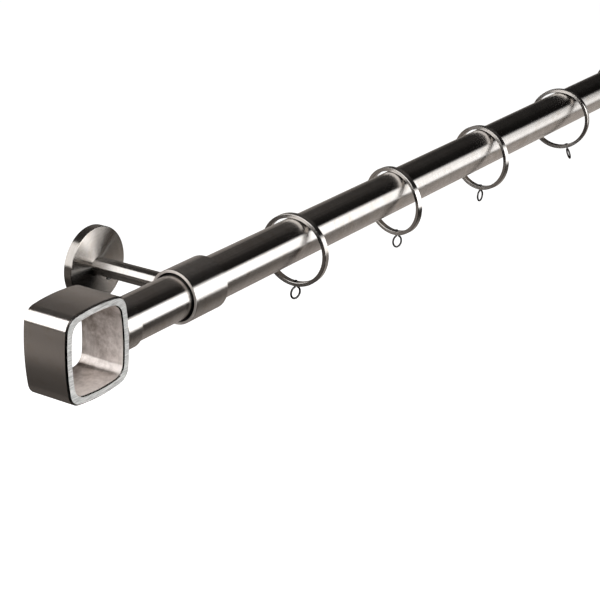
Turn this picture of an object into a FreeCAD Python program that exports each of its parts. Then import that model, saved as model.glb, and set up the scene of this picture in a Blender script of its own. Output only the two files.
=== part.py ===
import FreeCAD, Part
import math
import os

from FreeCAD import Placement, Rotation, Vector

# Metal curtain pole on two wall brackets, with loop finials and eight rings.
# Millimetres. X runs along the pole, +Y points into the wall, +Z is up.
# The wall is the plane Y = 0, and the origin is midway between the two
# brackets, at the height of the pole.

# ---------------------------------------------------------------- pole
POLE_DIAMETER = 28.0
POLE_WALL = 1.2
POLE_LENGTH = 1200.0

# ---------------------------------------------------------------- brackets
BRACKET_INSET = 71.0        # pole end to the middle of the bracket
WALL_TO_POLE = 77.5         # wall to the pole's axis

PLATE_THICKNESS = 2.0
SCREW_HOLE_DIAMETER = 5.0
SCREW_SPACING = 28.0        # between the two wall screws of one bracket

ROSE_DIAMETER = 49.5
ROSE_DEPTH = 6.0
ROSE_WALL = 1.2
ROSE_EDGE_ROUND = 0.6
ROSE_PLATE_GAP = 1.5        # rose wall to the plate's edge

SPIGOT_DIAMETER = 8.0
SPIGOT_REACH = 24.0         # beyond the rose, inside the arm
SPIGOT_CLEARANCE = 0.1      # radial, in the arm and in the rose
FLANGE_RIM = 3.0            # the spigot's flange beyond its post
FLANGE_ROSE_GAP = 0.8       # flange to the inside of the rose's face

ARM_DIAMETER = 11.6
ARM_TENON_DIAMETER = 7.0
ARM_BORE_SPARE = 1.0        # bore depth beyond the spigot's end

SLEEVE_POLE_GAP = 1.1       # radial
SLEEVE_WALL = 1.9
SLEEVE_LENGTH = 30.6
SLEEVE_EDGE_ROUND = 0.35

# ---------------------------------------------------------------- grub screws
ARM_SCREW_DIAMETER = 3.0
ARM_SCREW_FROM_ROSE = 8.0   # rose face to the screw's axis
ARM_SCREW_PROUD = 1.5       # left standing out under the arm
SLEEVE_SCREW_DIAMETER = 5.0
SLEEVE_SCREW_PROUD = 0.6
FINIAL_SCREW_DIAMETER = 4.0
FINIAL_SCREW_PROUD = 0.4
SOCKET_SHARE = 0.5          # hexagon socket across flats / screw diameter
SOCKET_DEPTH_SHARE = 0.5    # socket depth / screw length

# ---------------------------------------------------------------- finials
LOOP_WIDTH = 52.4           # along the pole
LOOP_HEIGHT = 54.9
LOOP_FACE_MARGIN = 0.2      # its front and back faces beyond the collar's sides
LOOP_CORNER = 9.2
LOOP_CROWN = 2.4            # how far each side bows out between its corners
LOOP_WALL_SIDE = 5.3
LOOP_WALL_TOP = 5.0
LOOP_INNER_CORNER = 7.9
LOOP_INNER_CROWN = 1.8
LOOP_OUTER_CHAMFER = 1.0
LOOP_INNER_CHAMFER = 0.7

COLLAR_POLE_CLEARANCE = 0.08    # radial
COLLAR_WALL = 1.47
COLLAR_FLOOR = 2.8          # thickness at the middle of its floor
COLLAR_END_GAP = 0.2        # floor to the pole's end
COLLAR_GRIP = 9.0           # pole end to the collar's mouth
COLLAR_EDGE_ROUND = 0.5
FINIAL_SCREW_FROM_MOUTH = 4.0

STUD_DIAMETER = 5.0
STUD_IN_LOOP = 3.5

# ---------------------------------------------------------------- rings
RING_INNER_DIAMETER = 44.2
RING_BAND = 2.65            # thickness from inside to outside
RING_WIDTH = 4.3
RING_EDGE_CHAMFER = 0.25
RING_REST_GAP = 0.3         # ring's top to the pole

# Where each ring rests, as a share of the way from the left bracket to the
# right one, with the small turn about the vertical, lean and roll about its own
# axis that it happens to have, in degrees, and the way its eyelet faces,
# measured from the pole's direction.
RINGS = [
    {"place": 0.1040, "turn": 1.3, "lean": 1.4, "roll": 0.0, "eye": -12.0},
    {"place": 0.2193, "turn": -9.9, "lean": 2.9, "roll": -5.7, "eye": -14.0},
    {"place": 0.3393, "turn": -7.8, "lean": -0.9, "roll": -2.2, "eye": 2.0},
    {"place": 0.4660, "turn": 7.7, "lean": -1.4, "roll": -19.0, "eye": 41.0},
    {"place": 0.5785, "turn": -5.0, "lean": 0.8, "roll": 4.0, "eye": -16.0},
    {"place": 0.6890, "turn": 3.5, "lean": -1.0, "roll": -6.0, "eye": 9.0},
    {"place": 0.7968, "turn": -2.5, "lean": 1.2, "roll": -9.0, "eye": -5.0},
    {"place": 0.8980, "turn": 6.0, "lean": -0.6, "roll": 3.0, "eye": 14.0},
]

EYE_WIDTH = 9.4
EYE_WIRE = 1.4
EYE_NECK = 0.95             # how much further the wire drops to the loop's middle than in a round loop
EYE_END_GAP = 0.35          # between the wire's cut end and its stem
EYE_STEM_CLEARANCE = 0.06
EYE_DROP = 0.2              # ring to the top of the loop
EYE_HEAD_RIM = 0.65         # head beyond the wire
EYE_HEAD_THICKNESS = 0.6
EYE_HEAD_LIFT = 0.1         # head above the band's lowest point inside

# ---------------------------------------------------------------- worked out
BRACKET_X = POLE_LENGTH / 2 - BRACKET_INSET
POLE_Y = -WALL_TO_POLE
POLE_RADIUS = POLE_DIAMETER / 2
ROSE_FACE_Y = -ROSE_DEPTH
PLATE_RADIUS = ROSE_DIAMETER / 2 - ROSE_WALL - ROSE_PLATE_GAP
FLANGE_THICKNESS = ROSE_DEPTH - ROSE_WALL - FLANGE_ROSE_GAP - PLATE_THICKNESS
SLEEVE_BORE_RADIUS = POLE_RADIUS + SLEEVE_POLE_GAP
SLEEVE_RADIUS = SLEEVE_BORE_RADIUS + SLEEVE_WALL
ARM_RADIUS = ARM_DIAMETER / 2
SPIGOT_END_Y = ROSE_FACE_Y - SPIGOT_REACH
ARM_BORE_END_Y = SPIGOT_END_Y - ARM_BORE_SPARE
ARM_BORE_RADIUS = SPIGOT_DIAMETER / 2 + SPIGOT_CLEARANCE
ARM_SCREW_Y = ROSE_FACE_Y - ARM_SCREW_FROM_ROSE
COLLAR_BORE_RADIUS = POLE_RADIUS + COLLAR_POLE_CLEARANCE
COLLAR_RADIUS = COLLAR_BORE_RADIUS + COLLAR_WALL
COLLAR_FLOOR_X = POLE_LENGTH / 2 + COLLAR_END_GAP
LOOP_CENTRE_X = COLLAR_FLOOR_X + COLLAR_FLOOR + LOOP_WIDTH / 2
LOOP_DEPTH = 2 * (COLLAR_RADIUS + LOOP_FACE_MARGIN)
COLLAR_MOUTH_X = POLE_LENGTH / 2 - COLLAR_GRIP
RING_INNER_RADIUS = RING_INNER_DIAMETER / 2
RING_OUTER_RADIUS = RING_INNER_RADIUS + RING_BAND
RING_Z = POLE_RADIUS + RING_REST_GAP - RING_INNER_RADIUS

X_AXIS = Vector(1, 0, 0)
Y_AXIS = Vector(0, 1, 0)
Z_AXIS = Vector(0, 0, 1)


# ---------------------------------------------------------------- helpers
def rod(radius, length, start, axis):
    """A round bar from start along axis."""
    return Part.makeCylinder(radius, length, start, axis)


def tube(outer_radius, inner_radius, length, start, axis):
    """A round pipe from start along axis."""
    return rod(outer_radius, length, start, axis).cut(rod(inner_radius, length, start, axis))


def circles_at(shape, radius, point, axis):
    """The full-circle edges of this radius whose centres lie in the plane through point."""
    found = []
    for edge in shape.Edges:
        curve = edge.Curve
        if not isinstance(curve, Part.Circle) or abs(curve.Radius - radius) > 1e-4:
            continue
        if abs((curve.Center - point).dot(axis)) < 1e-4 and abs(abs(curve.Axis.dot(axis)) - 1) < 1e-6:
            found.append(edge)
    return found


def level_edges(shape):
    """The edges that lie in one plane across Y."""
    return [edge for edge in shape.Edges if edge.BoundBox.YLength < 1e-4]


def one_solid(shape):
    """The single solid that a cut or fuse leaves, checked."""
    clean = shape.removeSplitter()
    if len(clean.Solids) != 1 or not clean.isValid():
        raise RuntimeError("a piece is not one valid solid")
    return clean.Solids[0]


def mirrored(shape):
    """The same piece at the right-hand end."""
    return shape.mirror(Vector(0, 0, 0), X_AXIS)


def grub_screw(diameter, length, head, direction):
    """A headless screw whose socketed end is at head; direction points into the work."""
    body = rod(diameter / 2, length, head, direction)
    flats = diameter * SOCKET_SHARE
    corner = flats / math.sqrt(3)
    turn = Rotation(Z_AXIS, direction)
    points = []
    for i in range(7):
        angle = math.radians(60 * i)
        points.append(head + turn.multVec(Vector(corner * math.cos(angle), corner * math.sin(angle), 0)))
    socket = Part.Face(Part.makePolygon(points)).extrude(direction * (length * SOCKET_DEPTH_SHARE))
    return one_solid(body.cut(socket))


def crowned_outline(half_width, half_height, crown, corner):
    """A closed wire in the XZ plane: four bowed sides with rounded corners, about the origin."""
    # Each side is an arc that bows out by crown over the full side.
    side_half = half_height - crown
    top_half = half_width - crown
    side_radius = (side_half ** 2 + crown ** 2) / (2 * crown)
    top_radius = (top_half ** 2 + crown ** 2) / (2 * crown)
    side_centre = half_width - side_radius          # on the X axis
    top_centre = half_height - top_radius           # on the Z axis
    # A corner arc touches both sides, so its centre is this far from theirs.
    to_side = side_radius - corner
    to_top = top_radius - corner
    span = math.hypot(side_centre, top_centre)
    along = (to_side ** 2 - to_top ** 2 + span ** 2) / (2 * span)
    across = math.sqrt(to_side ** 2 - along ** 2)
    unit_x = -side_centre / span
    unit_z = top_centre / span
    corner_x = side_centre + along * unit_x - across * unit_z
    corner_z = along * unit_z + across * unit_x
    side_angle = math.atan2(corner_z, corner_x - side_centre)
    top_angle = math.atan2(corner_z - top_centre, corner_x)
    mid_angle = (side_angle + top_angle) / 2

    def place(x, z, flip_x, flip_z):
        return Vector(x * flip_x, 0, z * flip_z)

    side_end = (side_centre + side_radius * math.cos(side_angle), side_radius * math.sin(side_angle))
    top_end = (top_radius * math.cos(top_angle), top_centre + top_radius * math.sin(top_angle))
    mid = (corner_x + corner * math.cos(mid_angle), corner_z + corner * math.sin(mid_angle))
    edges = []
    for flip_x, flip_z in ((1, 1), (-1, 1), (-1, -1), (1, -1)):
        ends = [place(*point, flip_x, flip_z) for point in (side_end, mid, top_end)]
        edges.append(Part.Arc(*ends).toShape())
    for flip in (1, -1):
        edges.append(Part.Arc(place(*side_end, flip, -1), Vector(flip * half_width, 0, 0),
                              place(*side_end, flip, 1)).toShape())
        edges.append(Part.Arc(place(*top_end, -1, flip), Vector(0, 0, flip * half_height),
                              place(*top_end, 1, flip)).toShape())
    return Part.Wire(Part.__sortEdges__(edges))


def prism_y(wire, depth, centre):
    """The wire's face as a solid of this depth along Y, centred on centre."""
    face = Part.Face(wire).translated(centre - Y_AXIS * (depth / 2))
    return face.extrude(Y_AXIS * depth)


# ---------------------------------------------------------------- pole
def make_pole():
    start = Vector(-POLE_LENGTH / 2, POLE_Y, 0)
    return one_solid(tube(POLE_RADIUS, POLE_RADIUS - POLE_WALL, POLE_LENGTH, start, X_AXIS))


# ---------------------------------------------------------------- left bracket
def make_wall_plate():
    """The round plate that two screws hold to the wall, one above the other."""
    at = Vector(-BRACKET_X, 0, 0)
    plate = rod(PLATE_RADIUS, PLATE_THICKNESS, at, -Y_AXIS)
    plate = plate.cut(rod(SPIGOT_DIAMETER / 2, PLATE_THICKNESS, at, -Y_AXIS))
    for side in (-1, 1):
        hole = at + Z_AXIS * (side * SCREW_SPACING / 2)
        plate = plate.cut(rod(SCREW_HOLE_DIAMETER / 2, PLATE_THICKNESS, hole, -Y_AXIS))
    return one_solid(plate)


def make_spigot():
    """The turned post on the plate that carries the arm."""
    at = Vector(-BRACKET_X, 0, 0)
    post = rod(SPIGOT_DIAMETER / 2, -SPIGOT_END_Y, at, -Y_AXIS)
    flange = rod(SPIGOT_DIAMETER / 2 + FLANGE_RIM, FLANGE_THICKNESS, at - Y_AXIS * PLATE_THICKNESS, -Y_AXIS)
    return one_solid(post.fuse(flange))


def make_rose():
    """The cup that hides the plate; the arm clamps it to the wall."""
    at = Vector(-BRACKET_X, 0, 0)
    cup = rod(ROSE_DIAMETER / 2, ROSE_DEPTH, at, -Y_AXIS)
    face = at + Y_AXIS * ROSE_FACE_Y
    cup = cup.makeFillet(ROSE_EDGE_ROUND, circles_at(cup, ROSE_DIAMETER / 2, face, Y_AXIS))
    cup = cup.cut(rod(ROSE_DIAMETER / 2 - ROSE_WALL, ROSE_DEPTH - ROSE_WALL, at, -Y_AXIS))
    cup = cup.cut(rod(ARM_BORE_RADIUS, ROSE_DEPTH, at, -Y_AXIS))
    return one_solid(cup)


def make_arm():
    """The round arm: bored for the spigot, tapped below, with a tenon into the sleeve."""
    at = Vector(-BRACKET_X, 0, 0)
    to_sleeve = ROSE_FACE_Y - POLE_Y
    arm = rod(ARM_RADIUS, to_sleeve, at + Y_AXIS * ROSE_FACE_Y, -Y_AXIS)
    axis_start = Vector(-BRACKET_X - SLEEVE_LENGTH / 2, POLE_Y, 0)
    arm = arm.cut(rod(SLEEVE_RADIUS, SLEEVE_LENGTH, axis_start, X_AXIS))
    tenon = rod(ARM_TENON_DIAMETER / 2, to_sleeve, at + Y_AXIS * ROSE_FACE_Y, -Y_AXIS)
    tenon = tenon.cut(rod(SLEEVE_BORE_RADIUS, SLEEVE_LENGTH, axis_start, X_AXIS))
    arm = arm.fuse(tenon)
    arm = arm.cut(rod(ARM_BORE_RADIUS, ROSE_FACE_Y - ARM_BORE_END_Y, at + Y_AXIS * ROSE_FACE_Y, -Y_AXIS))
    tapped = rod(ARM_SCREW_DIAMETER / 2, ARM_RADIUS, at + Y_AXIS * ARM_SCREW_Y, -Z_AXIS)
    return one_solid(arm.cut(tapped))


def make_sleeve():
    """The short tube that the pole passes through."""
    start = Vector(-BRACKET_X - SLEEVE_LENGTH / 2, POLE_Y, 0)
    sleeve = tube(SLEEVE_RADIUS, SLEEVE_BORE_RADIUS, SLEEVE_LENGTH, start, X_AXIS)
    rims = []
    for end in (start, start + X_AXIS * SLEEVE_LENGTH):
        rims += circles_at(sleeve, SLEEVE_RADIUS, end, X_AXIS)
        rims += circles_at(sleeve, SLEEVE_BORE_RADIUS, end, X_AXIS)
    sleeve = sleeve.makeFillet(SLEEVE_EDGE_ROUND, rims)
    middle = Vector(-BRACKET_X, POLE_Y, 0)
    sleeve = sleeve.cut(rod(ARM_TENON_DIAMETER / 2, SLEEVE_RADIUS, middle, Y_AXIS))
    return one_solid(sleeve.cut(rod(SLEEVE_SCREW_DIAMETER / 2, SLEEVE_RADIUS, middle, -Z_AXIS)))


def make_arm_screw():
    """The grub screw under the arm, close to the rose, that bites on the spigot."""
    head = Vector(-BRACKET_X, ARM_SCREW_Y, -ARM_RADIUS - ARM_SCREW_PROUD)
    length = -head.z - SPIGOT_DIAMETER / 2
    return grub_screw(ARM_SCREW_DIAMETER, length, head, Z_AXIS)


def make_sleeve_screw():
    """The grub screw under the sleeve that stops the pole sliding."""
    head = Vector(-BRACKET_X, POLE_Y, -SLEEVE_RADIUS - SLEEVE_SCREW_PROUD)
    length = -head.z - POLE_RADIUS
    return grub_screw(SLEEVE_SCREW_DIAMETER, length, head, Z_AXIS)


# ---------------------------------------------------------------- left finial
def loop_block():
    """The loop's outer form, solid."""
    outline = crowned_outline(LOOP_WIDTH / 2, LOOP_HEIGHT / 2, LOOP_CROWN, LOOP_CORNER)
    return prism_y(outline, LOOP_DEPTH, Vector(-LOOP_CENTRE_X, POLE_Y, 0))


def stud_start():
    """The blind end of the stud, inside the loop's wall."""
    return Vector(-LOOP_CENTRE_X + LOOP_WIDTH / 2 - STUD_IN_LOOP, POLE_Y, 0)


def make_loop():
    """The open rounded-square loop, hollow towards the wall and towards the room."""
    inner = crowned_outline(LOOP_WIDTH / 2 - LOOP_WALL_SIDE, LOOP_HEIGHT / 2 - LOOP_WALL_TOP,
                            LOOP_INNER_CROWN, LOOP_INNER_CORNER)
    block = loop_block()
    block = block.makeChamfer(LOOP_OUTER_CHAMFER, level_edges(block))
    opening = prism_y(inner, LOOP_DEPTH, Vector(-LOOP_CENTRE_X, POLE_Y, 0))
    loop = block.cut(opening)
    reach = opening.BoundBox
    reach.enlarge(0.01)
    rims = [edge for edge in level_edges(loop) if reach.isInside(edge.BoundBox)]
    loop = loop.makeChamfer(LOOP_INNER_CHAMFER, rims)
    return one_solid(loop.cut(rod(STUD_DIAMETER / 2, STUD_IN_LOOP, stud_start(), X_AXIS)))


def make_collar():
    """The cup that the pole's end sits in, shaped at its floor to the loop's bowed side."""
    start = Vector(-LOOP_CENTRE_X, POLE_Y, 0)
    collar = rod(COLLAR_RADIUS, LOOP_CENTRE_X - COLLAR_MOUTH_X, start, X_AXIS)
    mouth = Vector(-COLLAR_MOUTH_X, POLE_Y, 0)
    collar = collar.makeFillet(COLLAR_EDGE_ROUND, circles_at(collar, COLLAR_RADIUS, mouth, X_AXIS))
    collar = collar.cut(rod(COLLAR_BORE_RADIUS, COLLAR_FLOOR_X - COLLAR_MOUTH_X, mouth, -X_AXIS))
    collar = collar.cut(loop_block())
    collar = collar.cut(rod(STUD_DIAMETER / 2, LOOP_CENTRE_X, start, X_AXIS))
    screw = mouth - X_AXIS * FINIAL_SCREW_FROM_MOUTH
    return one_solid(collar.cut(rod(FINIAL_SCREW_DIAMETER / 2, 2 * COLLAR_RADIUS, screw, -Z_AXIS)))


def make_finial_stud():
    """The threaded stud that joins the collar to the loop."""
    length = STUD_IN_LOOP + COLLAR_FLOOR
    return one_solid(rod(STUD_DIAMETER / 2, length, stud_start(), X_AXIS))


def make_finial_screw():
    """The grub screw under the collar that grips the pole."""
    head = Vector(-COLLAR_MOUTH_X - FINIAL_SCREW_FROM_MOUTH, POLE_Y, -COLLAR_RADIUS - FINIAL_SCREW_PROUD)
    length = -head.z - COLLAR_BORE_RADIUS
    return grub_screw(FINIAL_SCREW_DIAMETER, length, head, Z_AXIS)


# ---------------------------------------------------------------- rings
def ring_placement(ring):
    """Where a ring hangs: its own X is its axis, its own Z points to its top."""
    centre = Vector(BRACKET_X * (2 * ring["place"] - 1), POLE_Y, RING_Z)
    turn = Rotation(Z_AXIS, ring["turn"]).multiply(Rotation(Y_AXIS, -ring["lean"]))
    return Placement(centre, turn.multiply(Rotation(X_AXIS, ring["roll"])))


def make_ring(ring):
    """The flat band, drilled at its lowest point for the eyelet's stem."""
    start = Vector(-RING_WIDTH / 2, 0, 0)
    band = tube(RING_OUTER_RADIUS, RING_INNER_RADIUS, RING_WIDTH, start, X_AXIS)
    rims = []
    for end in (start, -start):
        rims += circles_at(band, RING_OUTER_RADIUS, end, X_AXIS)
        rims += circles_at(band, RING_INNER_RADIUS, end, X_AXIS)
    band = band.makeChamfer(RING_EDGE_CHAMFER, rims)
    stem_hole = EYE_WIRE / 2 + EYE_STEM_CLEARANCE
    band = one_solid(band.cut(rod(stem_hole, 2 * RING_OUTER_RADIUS, Vector(0, 0, 0), -Z_AXIS)))
    band.Placement = ring_placement(ring)
    return band


def make_eyelet(ring):
    """A split loop of wire under the ring, its stem headed over inside the ring."""
    wire_radius = EYE_WIRE / 2
    belly = EYE_WIDTH / 2 - wire_radius
    neck_z = -RING_OUTER_RADIUS - EYE_DROP
    fall = belly + EYE_NECK
    belly_z = neck_z - fall
    # The bend below the stem is the arc that leaves it straight down and meets the belly smoothly.
    bend = (fall ** 2 - belly ** 2) / (2 * belly)
    share = bend / (bend + belly)
    joined = Vector(-bend + bend * share, 0, neck_z - fall * share)
    half_turn = math.atan2(fall, bend) / 2
    bend_mid = Vector(-bend + bend * math.cos(half_turn), 0, neck_z - bend * math.sin(half_turn))
    end_angle = math.acos((EYE_WIRE + EYE_END_GAP) / belly)
    end = Vector(belly * math.cos(end_angle), 0, belly_z + belly * math.sin(end_angle))
    head_z = -RING_INNER_RADIUS + EYE_HEAD_LIFT
    stem_top = Vector(0, 0, head_z)
    neck = Vector(0, 0, neck_z)
    path = Part.Wire([
        Part.LineSegment(stem_top, neck).toShape(),
        Part.Arc(neck, bend_mid, joined).toShape(),
        Part.Arc(joined, Vector(0, 0, belly_z - belly), end).toShape(),
    ])
    section = Part.Wire([Part.makeCircle(wire_radius, stem_top, Z_AXIS)])
    loop = path.makePipeShell([section], True, True)
    eyelet = one_solid(loop.fuse(rod(wire_radius + EYE_HEAD_RIM, EYE_HEAD_THICKNESS, stem_top, Z_AXIS)))
    facing = Placement(Vector(0, 0, 0), Rotation(Z_AXIS, ring["eye"] - ring["turn"]))
    eyelet.Placement = ring_placement(ring).multiply(facing)
    return eyelet


# ---------------------------------------------------------------- all the pieces
def make_nodes():
    """Every piece by name. The right-hand end mirrors the left."""
    nodes = {"pole": make_pole()}
    pairs = {
        "wall_plate": make_wall_plate(),
        "spigot": make_spigot(),
        "rose": make_rose(),
        "arm": make_arm(),
        "sleeve": make_sleeve(),
        "finial_loop": make_loop(),
        "finial_collar": make_collar(),
        "finial_stud": make_finial_stud(),
        "finial_screw": make_finial_screw(),
    }
    for name, shape in pairs.items():
        nodes["left_" + name] = shape
        nodes["right_" + name] = mirrored(shape)
    groups = {"arm_grub_screws": make_arm_screw(), "sleeve_grub_screws": make_sleeve_screw()}
    for name, shape in groups.items():
        nodes[name] = Part.makeCompound([shape, mirrored(shape)])
    for number, ring in enumerate(RINGS, start=1):
        nodes[f"ring_{number}"] = make_ring(ring)
        nodes[f"ring_{number}_eyelet"] = make_eyelet(ring)
    return nodes


def main():
    os.makedirs("parts", exist_ok=True)
    for name, shape in make_nodes().items():
        shape.exportStep(os.path.join("parts", name + ".step"))


main()
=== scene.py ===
import math
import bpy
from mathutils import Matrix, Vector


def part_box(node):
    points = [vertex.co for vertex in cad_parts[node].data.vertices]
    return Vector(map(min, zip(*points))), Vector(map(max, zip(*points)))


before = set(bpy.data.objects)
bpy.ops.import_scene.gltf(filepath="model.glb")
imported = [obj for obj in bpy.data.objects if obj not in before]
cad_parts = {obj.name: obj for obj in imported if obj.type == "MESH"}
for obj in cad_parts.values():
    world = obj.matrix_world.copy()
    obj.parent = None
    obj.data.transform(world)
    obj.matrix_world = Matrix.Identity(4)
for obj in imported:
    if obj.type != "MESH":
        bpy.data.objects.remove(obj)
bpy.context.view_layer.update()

from types import SimpleNamespace

import bpy
from mathutils import Matrix, Vector

# ------------------------------------------------------------------ places
# Everything is in metres: X along the pole, +Y into the wall, +Z up.


def middle(node):
    low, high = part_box(node)
    return (Vector(low) + Vector(high)) / 2


LOOP = middle("left_finial_loop")
POLE = middle("pole")
LENS_MM = 100.0
CAMERA_OFFSET = Vector((-0.6234, -0.5749, 0.3635))     # from the middle of the left loop
CAMERA_AZIMUTH = math.radians(-55.6)
CAMERA_ELEVATION = math.radians(21.86)
CAMERA_ROLL = math.radians(0.22)
FLOOR_DROP = 1.1                                       # pole to floor


# ------------------------------------------------------------------ node helpers
class Graph:
    """A material's or world's node tree, with short calls to add and join nodes."""

    def __init__(self, owner):
        owner.use_nodes = True
        self.tree = owner.node_tree
        self.tree.nodes.clear()

    def add(self, kind, **settings):
        node = self.tree.nodes.new(kind)
        for key, value in settings.items():
            setattr(node, key, value)
        return node

    def join(self, source, target):
        self.tree.links.new(source, target)

    def put(self, socket, value):
        """A number or a colour is set on the socket, and another node's output is linked to it."""
        if isinstance(value, bpy.types.NodeSocket):
            self.join(value, socket)
        else:
            socket.default_value = value

    def math(self, operation, a, b=0.0):
        node = self.add("ShaderNodeMath", operation=operation)
        self.put(node.inputs[0], a)
        self.put(node.inputs[1], b)
        return node.outputs[0]

    def vector(self, operation, a, b=(0, 0, 0)):
        node = self.add("ShaderNodeVectorMath", operation=operation)
        self.put(node.inputs[0], a)
        self.put(node.inputs[1], b)
        return node.outputs["Value" if operation in ("LENGTH", "DOT_PRODUCT") else "Vector"]

    def blend(self, share, a, b):
        node = self.add("ShaderNodeMix", data_type="FLOAT")
        for index, value in ((0, share), (2, a), (3, b)):
            self.put(node.inputs[index], value)
        return node.outputs[0]

    def combine(self, x, y, z):
        node = self.add("ShaderNodeCombineXYZ")
        for socket, value in zip(node.inputs, (x, y, z)):
            self.put(socket, value)
        return node.outputs[0]

    def separate(self, vector):
        node = self.add("ShaderNodeSeparateXYZ")
        self.join(vector, node.inputs[0])
        return node.outputs

    def noise(self, vector, scale, detail=2.0, roughness=0.5):
        node = self.add("ShaderNodeTexNoise")
        self.join(vector, node.inputs["Vector"])
        node.inputs["Scale"].default_value = scale
        node.inputs["Detail"].default_value = detail
        node.inputs["Roughness"].default_value = roughness
        return node.outputs[0]

    def ramp(self, factor, stops):
        """A colour ramp; stops are (place, value or colour)."""
        node = self.add("ShaderNodeValToRGB")
        elements = node.color_ramp.elements
        while len(elements) < len(stops):
            elements.new(0.5)
        for element, (place, value) in zip(elements, stops):
            element.position = place
            colour = (value,) * 3 if isinstance(value, float) else value
            element.color = (*colour, 1.0)
        self.join(factor, node.inputs[0])
        return node.outputs[0]

    def span(self, value, low, high, to_low=0.0, to_high=1.0):
        """Takes low..high to to_low..to_high, and holds the ends beyond them."""
        node = self.add("ShaderNodeMapRange")
        self.join(value, node.inputs["Value"])
        for name, number in (("From Min", low), ("From Max", high), ("To Min", to_low), ("To Max", to_high)):
            node.inputs[name].default_value = number
        return node.outputs["Result"]

    def mix(self, factor, a, b):
        node = self.add("ShaderNodeMix", data_type="RGBA")
        self.put(node.inputs["Factor"], factor)
        for name, value in (("A", a), ("B", b)):
            socket = next(s for s in node.inputs if s.name == name and s.type == "RGBA")
            self.put(socket, value if isinstance(value, bpy.types.NodeSocket) else (*value, 1.0))
        return next(s for s in node.outputs if s.type == "RGBA")


# ------------------------------------------------------------------ metals
# A metal's lighter and darker tones.
NICKEL = ((0.62, 0.595, 0.57), (0.47, 0.445, 0.425))
ROSE_NICKEL = ((0.43, 0.405, 0.38), (0.31, 0.29, 0.27))
LOOP_NICKEL = ((0.78, 0.735, 0.70), (0.72, 0.675, 0.645))
STEEL = ((0.6, 0.6, 0.6), (0.42, 0.42, 0.42))
SCREW_STEEL = ((0.4, 0.4, 0.4), (0.3, 0.3, 0.3))
WIRE = ((0.09, 0.088, 0.085), (0.03, 0.029, 0.028))
# Tones of single faces: the loop's faces from dark to light streaks, and its inner walls from painted shade
# to painted light.
LOOP_FACE = ((0.30, 0.298, 0.29), (0.64, 0.635, 0.62))
LOOP_WALL_SHADE_TO_LIGHT = ((0.34, 0.29, 0.26), (0.97, 0.90, 0.86))
# Painted shade for the bore of a tube.
BORE_PAINTED_SHADE = (0.08, 0.075, 0.07)
TUBE_END = (0.60, 0.55, 0.51)
# The least and the most roughness.
POLISHED = (0.13, 0.19)
TURNED = (0.17, 0.23)
DULL = (0.4, 0.5)
GRAIN_HEIGHT = 0.00001                                 # of the brush lines at a bump of 1, in metres


def turned_marks(graph, axis, centre):
    """Where a point lies from the centre and the axis, and the tones of fine lines round the axis."""
    place = graph.add("ShaderNodeTexCoord").outputs["Object"]
    local = graph.vector("SUBTRACT", place, tuple(centre))
    x, y, z = graph.separate(local)
    along, across = (x, graph.combine(0.0, y, z)) if axis == "X" else (y, graph.combine(x, 0.0, z))
    radius = graph.vector("LENGTH", across)
    wander = graph.noise(local, 45.0, 1.0)
    groove = graph.combine(along, radius, graph.math("MULTIPLY", wander, 0.002))
    fine = graph.noise(groove, 5200.0, 2.0, 0.6)
    coarse = graph.noise(groove, 1100.0, 2.0, 0.55)
    cloud = graph.noise(local, 60.0, 3.0)
    grain = graph.math("ADD", graph.math("MULTIPLY", fine, 0.55), graph.math("MULTIPLY", coarse, 0.45))
    tone = graph.math("ADD", graph.math("MULTIPLY", grain, 0.7), graph.math("MULTIPLY", cloud, 0.3))
    return SimpleNamespace(local=local, x=x, z=z, along=along, across=across,
                           radius=radius, grain=grain, tone=tone)


def worn(graph, marks, light, dark):
    """The metal's colour, with its lines, a brown tarnish in clouds, and specks."""
    colour = graph.mix(graph.span(marks.tone, 0.3, 0.7), dark, light)
    tarnish = graph.span(graph.noise(marks.local, 130.0, 4.0, 0.6), 0.5, 0.75, 0.0, 0.45)
    colour = graph.mix(tarnish, colour, tuple(tone * t for tone, t in zip(dark, (0.92, 0.84, 0.72))))
    speck = graph.span(graph.noise(marks.local, 1500.0, 1.0), 0.70, 0.80, 0.0, 0.2)
    return graph.mix(speck, colour, tuple(tone * 0.5 for tone in dark))


def inner_side(graph, marks):
    """The true normal, and a mask of the faces that look towards the axis."""
    normal = graph.add("ShaderNodeNewGeometry").outputs["True Normal"]
    return normal, graph.span(graph.vector("DOT_PRODUCT", normal, marks.across), 0.0005, -0.0005)


def bored(graph, marks, look):
    """A tube with a dull bore painted dark as shade, and satin ends."""
    normal, inside = inner_side(graph, marks)
    end = graph.span(graph.math("ABSOLUTE", graph.separate(normal)["X"]), 0.6, 0.9)
    # The bore is painted near black, as shade inside the tube.
    colour = graph.mix(inside, look["Base Color"], BORE_PAINTED_SHADE)
    look["Base Color"] = graph.mix(end, colour, TUBE_END)
    look["Roughness"] = graph.blend(end, graph.blend(inside, look["Roughness"], 0.5), 0.4)
    look["Metallic"] = graph.span(end, 0.0, 1.0, 1.0, 0.65)


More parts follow.
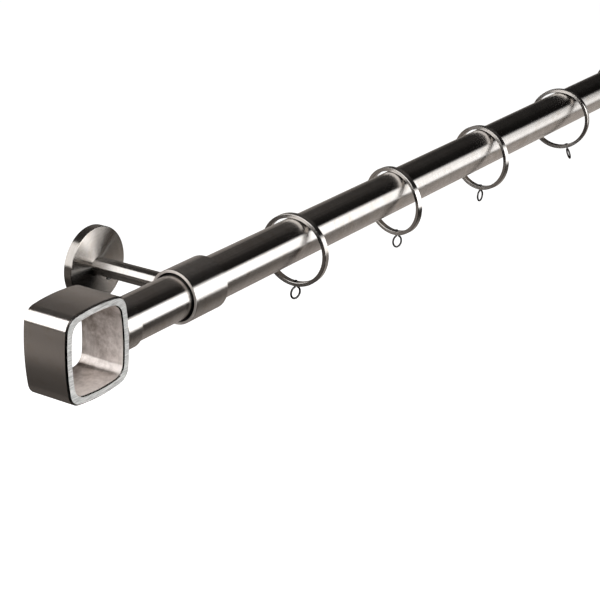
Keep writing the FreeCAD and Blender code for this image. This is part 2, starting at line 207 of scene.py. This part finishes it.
def looped(graph, marks, look):
    """The finial's loop: streaked flat faces, bright chamfers, and walls inside with painted light and
    shade, from dark to light.
    """
    normal, inside = inner_side(graph, marks)
    tilt = graph.math("ABSOLUTE", graph.separate(normal)["Y"])
    flat = graph.span(tilt, 0.93, 0.97)
    chamfer = graph.math("MULTIPLY", graph.span(tilt, 0.3, 0.5), graph.span(tilt, 0.95, 0.85))
    inside = graph.math("MULTIPLY", inside, graph.math("SUBTRACT", 1.0, chamfer))
    # Painted light and shade: the walls inside grow lighter downwards and towards -X and the room, the one
    # that looks up is painted darker as shade, and random patches vary the tone.
    painted_light_and_patches = graph.math("SUBTRACT", 0.77, graph.vector("DOT_PRODUCT", marks.local, (14.0, 16.0, 16.0)))
    upward_painted_shade = graph.span(graph.separate(normal)["Z"], 0.6, 0.8, 0.0, 0.55)
    patch = graph.span(graph.noise(marks.local, 220.0, 4.0, 0.65), 0.3, 0.7, 0.25, -0.25)
    painted_light_and_patches = graph.math("SUBTRACT", painted_light_and_patches, graph.math("ADD", upward_painted_shade, patch))
    along, sideways = graph.math("MULTIPLY", marks.along, 0.3), graph.math("MULTIPLY", marks.x, 0.06)
    streak = graph.span(graph.noise(graph.combine(along, sideways, marks.z), 2400.0, 3.0, 0.65), 0.36, 0.64)
    colour = graph.mix(inside, look["Base Color"], graph.mix(painted_light_and_patches, *LOOP_WALL_SHADE_TO_LIGHT))
    look["Base Color"] = graph.mix(flat, colour, graph.mix(streak, *LOOP_FACE))
    roughness = graph.blend(inside, look["Roughness"], graph.span(marks.tone, 0.3, 0.7, 0.38, 0.3))
    roughness = graph.blend(flat, roughness, graph.span(streak, 0.0, 1.0, 0.47, 0.42))
    look["Roughness"] = graph.blend(chamfer, roughness, 0.12)
    # The walls inside are less metallic where their painted light is brighter.
    dull = graph.math("MULTIPLY", inside, graph.span(painted_light_and_patches, 0.0, 1.0, 0.05, 0.58))
    look["Metallic"] = graph.math("SUBTRACT", 1.0, dull)
    straight = graph.combine(graph.math("MULTIPLY", flat, 40.0), 0.0, 0.0)
    look["Tangent"] = graph.vector("NORMALIZE", graph.vector("ADD", look["Tangent"], straight))


def brushed(name, axis, centre, tones, rough, bump=0.12, slope=0.0, finish=None):
    """Metal finished in fine lines round the axis, which stretch its highlights across them.

    slope leans the flat faces back towards their edge; finish changes the look of some faces.
    """
    material = bpy.data.materials.new(name)
    graph = Graph(material)
    marks = turned_marks(graph, axis, centre)
    low, high = rough
    look = {
        "Base Color": worn(graph, marks, *tones),
        "Roughness": graph.span(marks.tone, 0.3, 0.7, high, low),
        "Metallic": 1.0,
        "Anisotropic": 1.0,
        "Anisotropic Rotation": 0.25,
        "Tangent": graph.add("ShaderNodeTangent", direction_type="RADIAL", axis=axis).outputs[0],
    }
    if finish:
        finish(graph, marks, look)
    height = graph.math("MULTIPLY", marks.grain, GRAIN_HEIGHT * bump)
    if slope:
        height = graph.math("SUBTRACT", height, graph.math("MULTIPLY", marks.radius, slope))
    raised = graph.add("ShaderNodeBump")
    raised.inputs["Strength"].default_value = 1.0
    raised.inputs["Distance"].default_value = 1.0
    graph.join(height, raised.inputs["Height"])
    look["Normal"] = raised.outputs[0]
    shader = graph.add("ShaderNodeBsdfPrincipled")
    for socket, value in look.items():
        graph.put(shader.inputs[socket], value)
    graph.join(shader.outputs[0], graph.add("ShaderNodeOutputMaterial").inputs[0])
    return material


def wear(node, axis, centre, tones, rough, **extra):
    """The CAD node's own mesh with brushed metal on every slot."""
    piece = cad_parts[node]
    material = brushed(node, axis, centre, tones, rough, **extra)
    if not piece.material_slots:
        piece.data.materials.append(material)
    for slot in piece.material_slots:
        slot.material = material


def dress():
    """Every node's metal: the axis and centre of its brush lines, its tones and its roughness."""
    wear("pole", "X", POLE, NICKEL, POLISHED)
    for side in ("left_", "right_"):
        for part in ("sleeve", "finial_collar"):
            wear(side + part, "X", POLE, NICKEL, TURNED, finish=bored)
        rose, arm, loop = side + "rose", side + "arm", side + "finial_loop"
        wear(rose, "Y", middle(rose), ROSE_NICKEL, (0.21, 0.26), bump=0.06, slope=0.22)
        wear(arm, "Y", middle(arm), NICKEL, TURNED)
        wear(loop, "Y", middle(loop), LOOP_NICKEL, (0.20, 0.22), bump=0.02, finish=looped)
        for part in ("wall_plate", "spigot", "finial_stud", "finial_screw"):
            wear(side + part, "Y", middle(side + part), STEEL, DULL)
    for node in ("arm_grub_screws", "sleeve_grub_screws"):
        wear(node, "Y", middle(node), SCREW_STEEL, DULL)
    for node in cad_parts:
        if node.endswith("_eyelet"):
            wear(node, "Y", middle(node), WIRE, (0.15, 0.22))
        elif node.startswith("ring_"):
            wear(node, "X", middle(node), NICKEL, (0.16, 0.22))


# ------------------------------------------------------------------ stage
# The metal is lit mostly by what it reflects: two softboxes and, round them, a world of tone bands.
WARM = (1.06, 0.97, 0.90)                              # tint of the world's tones


def make_floor():
    bpy.ops.mesh.primitive_plane_add(size=60.0, location=(0, 0, POLE.z - FLOOR_DROP))
    floor = bpy.context.object
    floor.name = "floor"
    material = bpy.data.materials.new("floor_paper")
    graph = Graph(material)
    place = graph.add("ShaderNodeTexCoord").outputs["Object"]
    shader = graph.add("ShaderNodeBsdfPrincipled")
    paper = graph.mix(graph.noise(place, 3.0, 4.0), (0.93, 0.93, 0.93), (0.9, 0.9, 0.9))
    graph.join(paper, shader.inputs["Base Color"])
    shader.inputs["Roughness"].default_value = 0.9
    shader.inputs["Emission Color"].default_value = (1, 1, 1, 1)
    shader.inputs["Emission Strength"].default_value = 0.95
    graph.join(shader.outputs[0], graph.add("ShaderNodeOutputMaterial").inputs[0])
    floor.data.materials.append(material)
    floor.visible_glossy = False


def make_panel(name, corners):
    """A softbox: a four-cornered sheet, seen in reflections and not by the camera."""
    mesh = bpy.data.meshes.new(name)
    mesh.from_pydata(corners, [], [(0, 1, 2, 3)])
    panel = bpy.data.objects.new(name, mesh)
    bpy.context.scene.collection.objects.link(panel)
    material = bpy.data.materials.new(name)
    mesh.materials.append(material)
    panel.visible_camera = False
    graph = Graph(material)
    glow = graph.add("ShaderNodeEmission")
    glow.inputs["Color"].default_value = (1.0, 1.0, 1.0, 1.0)
    graph.join(glow.outputs[0], graph.add("ShaderNodeOutputMaterial").inputs[0])
    return graph, glow.inputs["Strength"]


def make_front_softbox():
    """The long softbox on the room side. It is brightest at the left, and softer and lower to the right."""
    graph, strength = make_panel("softbox_front", along_pole(2.0, (-0.9, 4.6), -27.0, 41.0))
    x, y, z = graph.separate(graph.add("ShaderNodeTexCoord").outputs["Object"])
    up = graph.math("ARCTAN2", graph.math("SUBTRACT", z, POLE.z), graph.math("SUBTRACT", POLE.y, y))
    low, high = -30.0, 45.0
    angle = graph.span(up, math.radians(low), math.radians(high))
    brightest, right_boost = 2.0, 0.3

    def band(stops):
        """Tones by the degrees up, as shares of the brightest."""
        places = [((degrees - low) / (high - low), tone / brightest) for degrees, tone in stops]
        return graph.ramp(angle, places)

    near = band([(-21, 0.02), (-14, 2.0), (25, 2.0), (34, 0.5), (38, 0.02)])
    far = band([(-27, 0.85), (-19, 1.4), (-10, 1.35), (0, 0.92), (8, 0.34), (21, 0.01)])
    tone = graph.mix(graph.span(x, 2.1, 3.3), near, far)
    boost = graph.ramp(graph.span(x, 0.0, 1.3), [(0.0, 1.0), (0.5, 0.6), (1.0, right_boost)])
    shade = graph.span(up, math.radians(4.0), math.radians(14.0), 0.35, 1.0)
    boost = graph.math("MULTIPLY", boost, graph.blend(graph.span(x, 0.1, 0.5), shade, 1.0))
    stripes = graph.noise(graph.combine(up, graph.math("MULTIPLY", x, 0.1), 0.0), 14.0, 4.0, 0.65)
    tone = graph.math("MULTIPLY", tone, graph.span(stripes, 0.3, 0.7, 0.75, 1.25))
    tone = graph.math("MULTIPLY", tone, boost)
    graph.join(graph.math("MULTIPLY", tone, brightest / right_boost), strength)


def make_left_softbox():
    """The softbox beyond the finial, which runs along the arm."""
    strength = make_panel("softbox_left", along_arm(1.6, (-0.6, 3.0), 3.0, 76.0))[1]
    strength.default_value = 2.2


def along_pole(distance, ends, low_angle, high_angle):
    """Corners of a sheet that runs along the pole, between two angles up from the room side."""
    corners = []
    for x, angle in zip((*ends, *ends[::-1]), (low_angle, low_angle, high_angle, high_angle)):
        a = math.radians(angle)
        corners.append((x, POLE.y - distance * math.cos(a), POLE.z + distance * math.sin(a)))
    return corners


def along_arm(distance, ends, low_angle, high_angle):
    """Corners of a sheet that runs along the left arm, between two angles up from the finial's side."""
    corners = []
    for y, angle in zip((*ends, *ends[::-1]), (low_angle, low_angle, high_angle, high_angle)):
        a = math.radians(angle)
        corners.append((LOOP.x - distance * math.cos(a), y, POLE.z + distance * math.sin(a)))
    return corners


def surround(graph, angle, stops):
    """A band of warm tones round the pole's direction: stops are (degrees up from the room side, tone)."""
    places = [((degrees + 180) / 360, tuple(tone * t for t in WARM)) for degrees, tone in stops]
    return graph.ramp(angle, places)


def make_world():
    world = bpy.data.worlds.new("studio")
    bpy.context.scene.world = world
    graph = Graph(world)
    direction = graph.add("ShaderNodeTexCoord").outputs["Generated"]
    x, y, z = graph.separate(direction)
    turn = graph.math("ARCTAN2", z, graph.math("MULTIPLY", y, -1.0))
    angle = graph.span(turn, -math.pi, math.pi)
    near = surround(graph, angle, [(-180, 0.38), (-99, 0.36), (-65, 0.22), (-46, 0.0), (-20, 0.0),
                                   (50, 0.02), (72, 0.03), (92, 0.09), (115, 0.11), (144, 0.10),
                                   (168, 0.34), (180, 0.38)])
    far = surround(graph, angle, [(-180, 0.3), (-115, 0.60), (-95, 0.54), (-65, 0.54), (-40, 0.64),
                                  (-20, 0.45), (40, 0.0), (95, 0.0), (136, 0.0), (170, 0.01), (180, 0.2)])
    left = surround(graph, angle, [(-180, 0.42), (-156, 0.40), (-146, 0.04), (-120, 0.12), (-90, 0.05),
                                   (-60, 0.0), (0, 0.0), (60, 0.02), (120, 0.04), (168, 0.07), (180, 0.42)])
    end = surround(graph, angle, [(-180, 0.03), (-150, 0.07), (-120, 0.12), (-90, 0.05), (-60, 0.0),
                                  (0, 0.0), (120, 0.04), (180, 0.08)])
    colour = graph.mix(graph.span(x, 0.75, 0.82), near, far)
    colour = graph.mix(graph.span(x, 0.42, 0.68), left, colour)
    colour = graph.mix(graph.span(x, -0.75, -0.62), end, colour)
    colour = graph.mix(graph.span(x, 0.90, 0.96), colour, (0.01, 0.009, 0.008))
    stripes = graph.noise(graph.combine(turn, graph.math("MULTIPLY", x, 0.4), 0.0), 10.0, 4.0, 0.65)
    level = graph.span(stripes, 0.3, 0.7, 0.45, 1.55)
    colour = graph.vector("MULTIPLY", colour, graph.combine(level, level, level))
    glow = graph.add("ShaderNodeBackground")
    graph.join(colour, glow.inputs["Color"])
    backdrop = graph.add("ShaderNodeBackground")
    backdrop.inputs["Color"].default_value = (1, 1, 1, 1)
    either = graph.add("ShaderNodeMixShader")
    graph.join(graph.add("ShaderNodeLightPath").outputs["Is Camera Ray"], either.inputs[0])
    graph.join(glow.outputs[0], either.inputs[1])
    graph.join(backdrop.outputs[0], either.inputs[2])
    graph.join(either.outputs[0], graph.add("ShaderNodeOutputWorld").inputs[0])


def make_camera():
    a, e = CAMERA_AZIMUTH, CAMERA_ELEVATION
    back = Vector((math.sin(a) * math.cos(e), -math.cos(a) * math.cos(e), math.sin(e)))
    side = (-back).cross(Vector((0, 0, 1))).normalized()
    up = side.cross(-back)
    right = side * math.cos(CAMERA_ROLL) + up * math.sin(CAMERA_ROLL)
    top = up * math.cos(CAMERA_ROLL) - side * math.sin(CAMERA_ROLL)
    camera = bpy.data.objects.new("camera", bpy.data.cameras.new("camera"))
    camera.data.lens = LENS_MM
    camera.data.sensor_width = 36.0
    camera.data.clip_start = 0.05
    camera.data.clip_end = 100.0
    turn = Matrix((right, top, back)).transposed().to_4x4()
    camera.matrix_world = Matrix.Translation(LOOP + CAMERA_OFFSET) @ turn
    bpy.context.scene.collection.objects.link(camera)
    bpy.context.scene.camera = camera


dress()
make_floor()
make_world()
make_front_softbox()
make_left_softbox()
make_camera()
bpy.context.scene.view_settings.view_transform = "Standard"
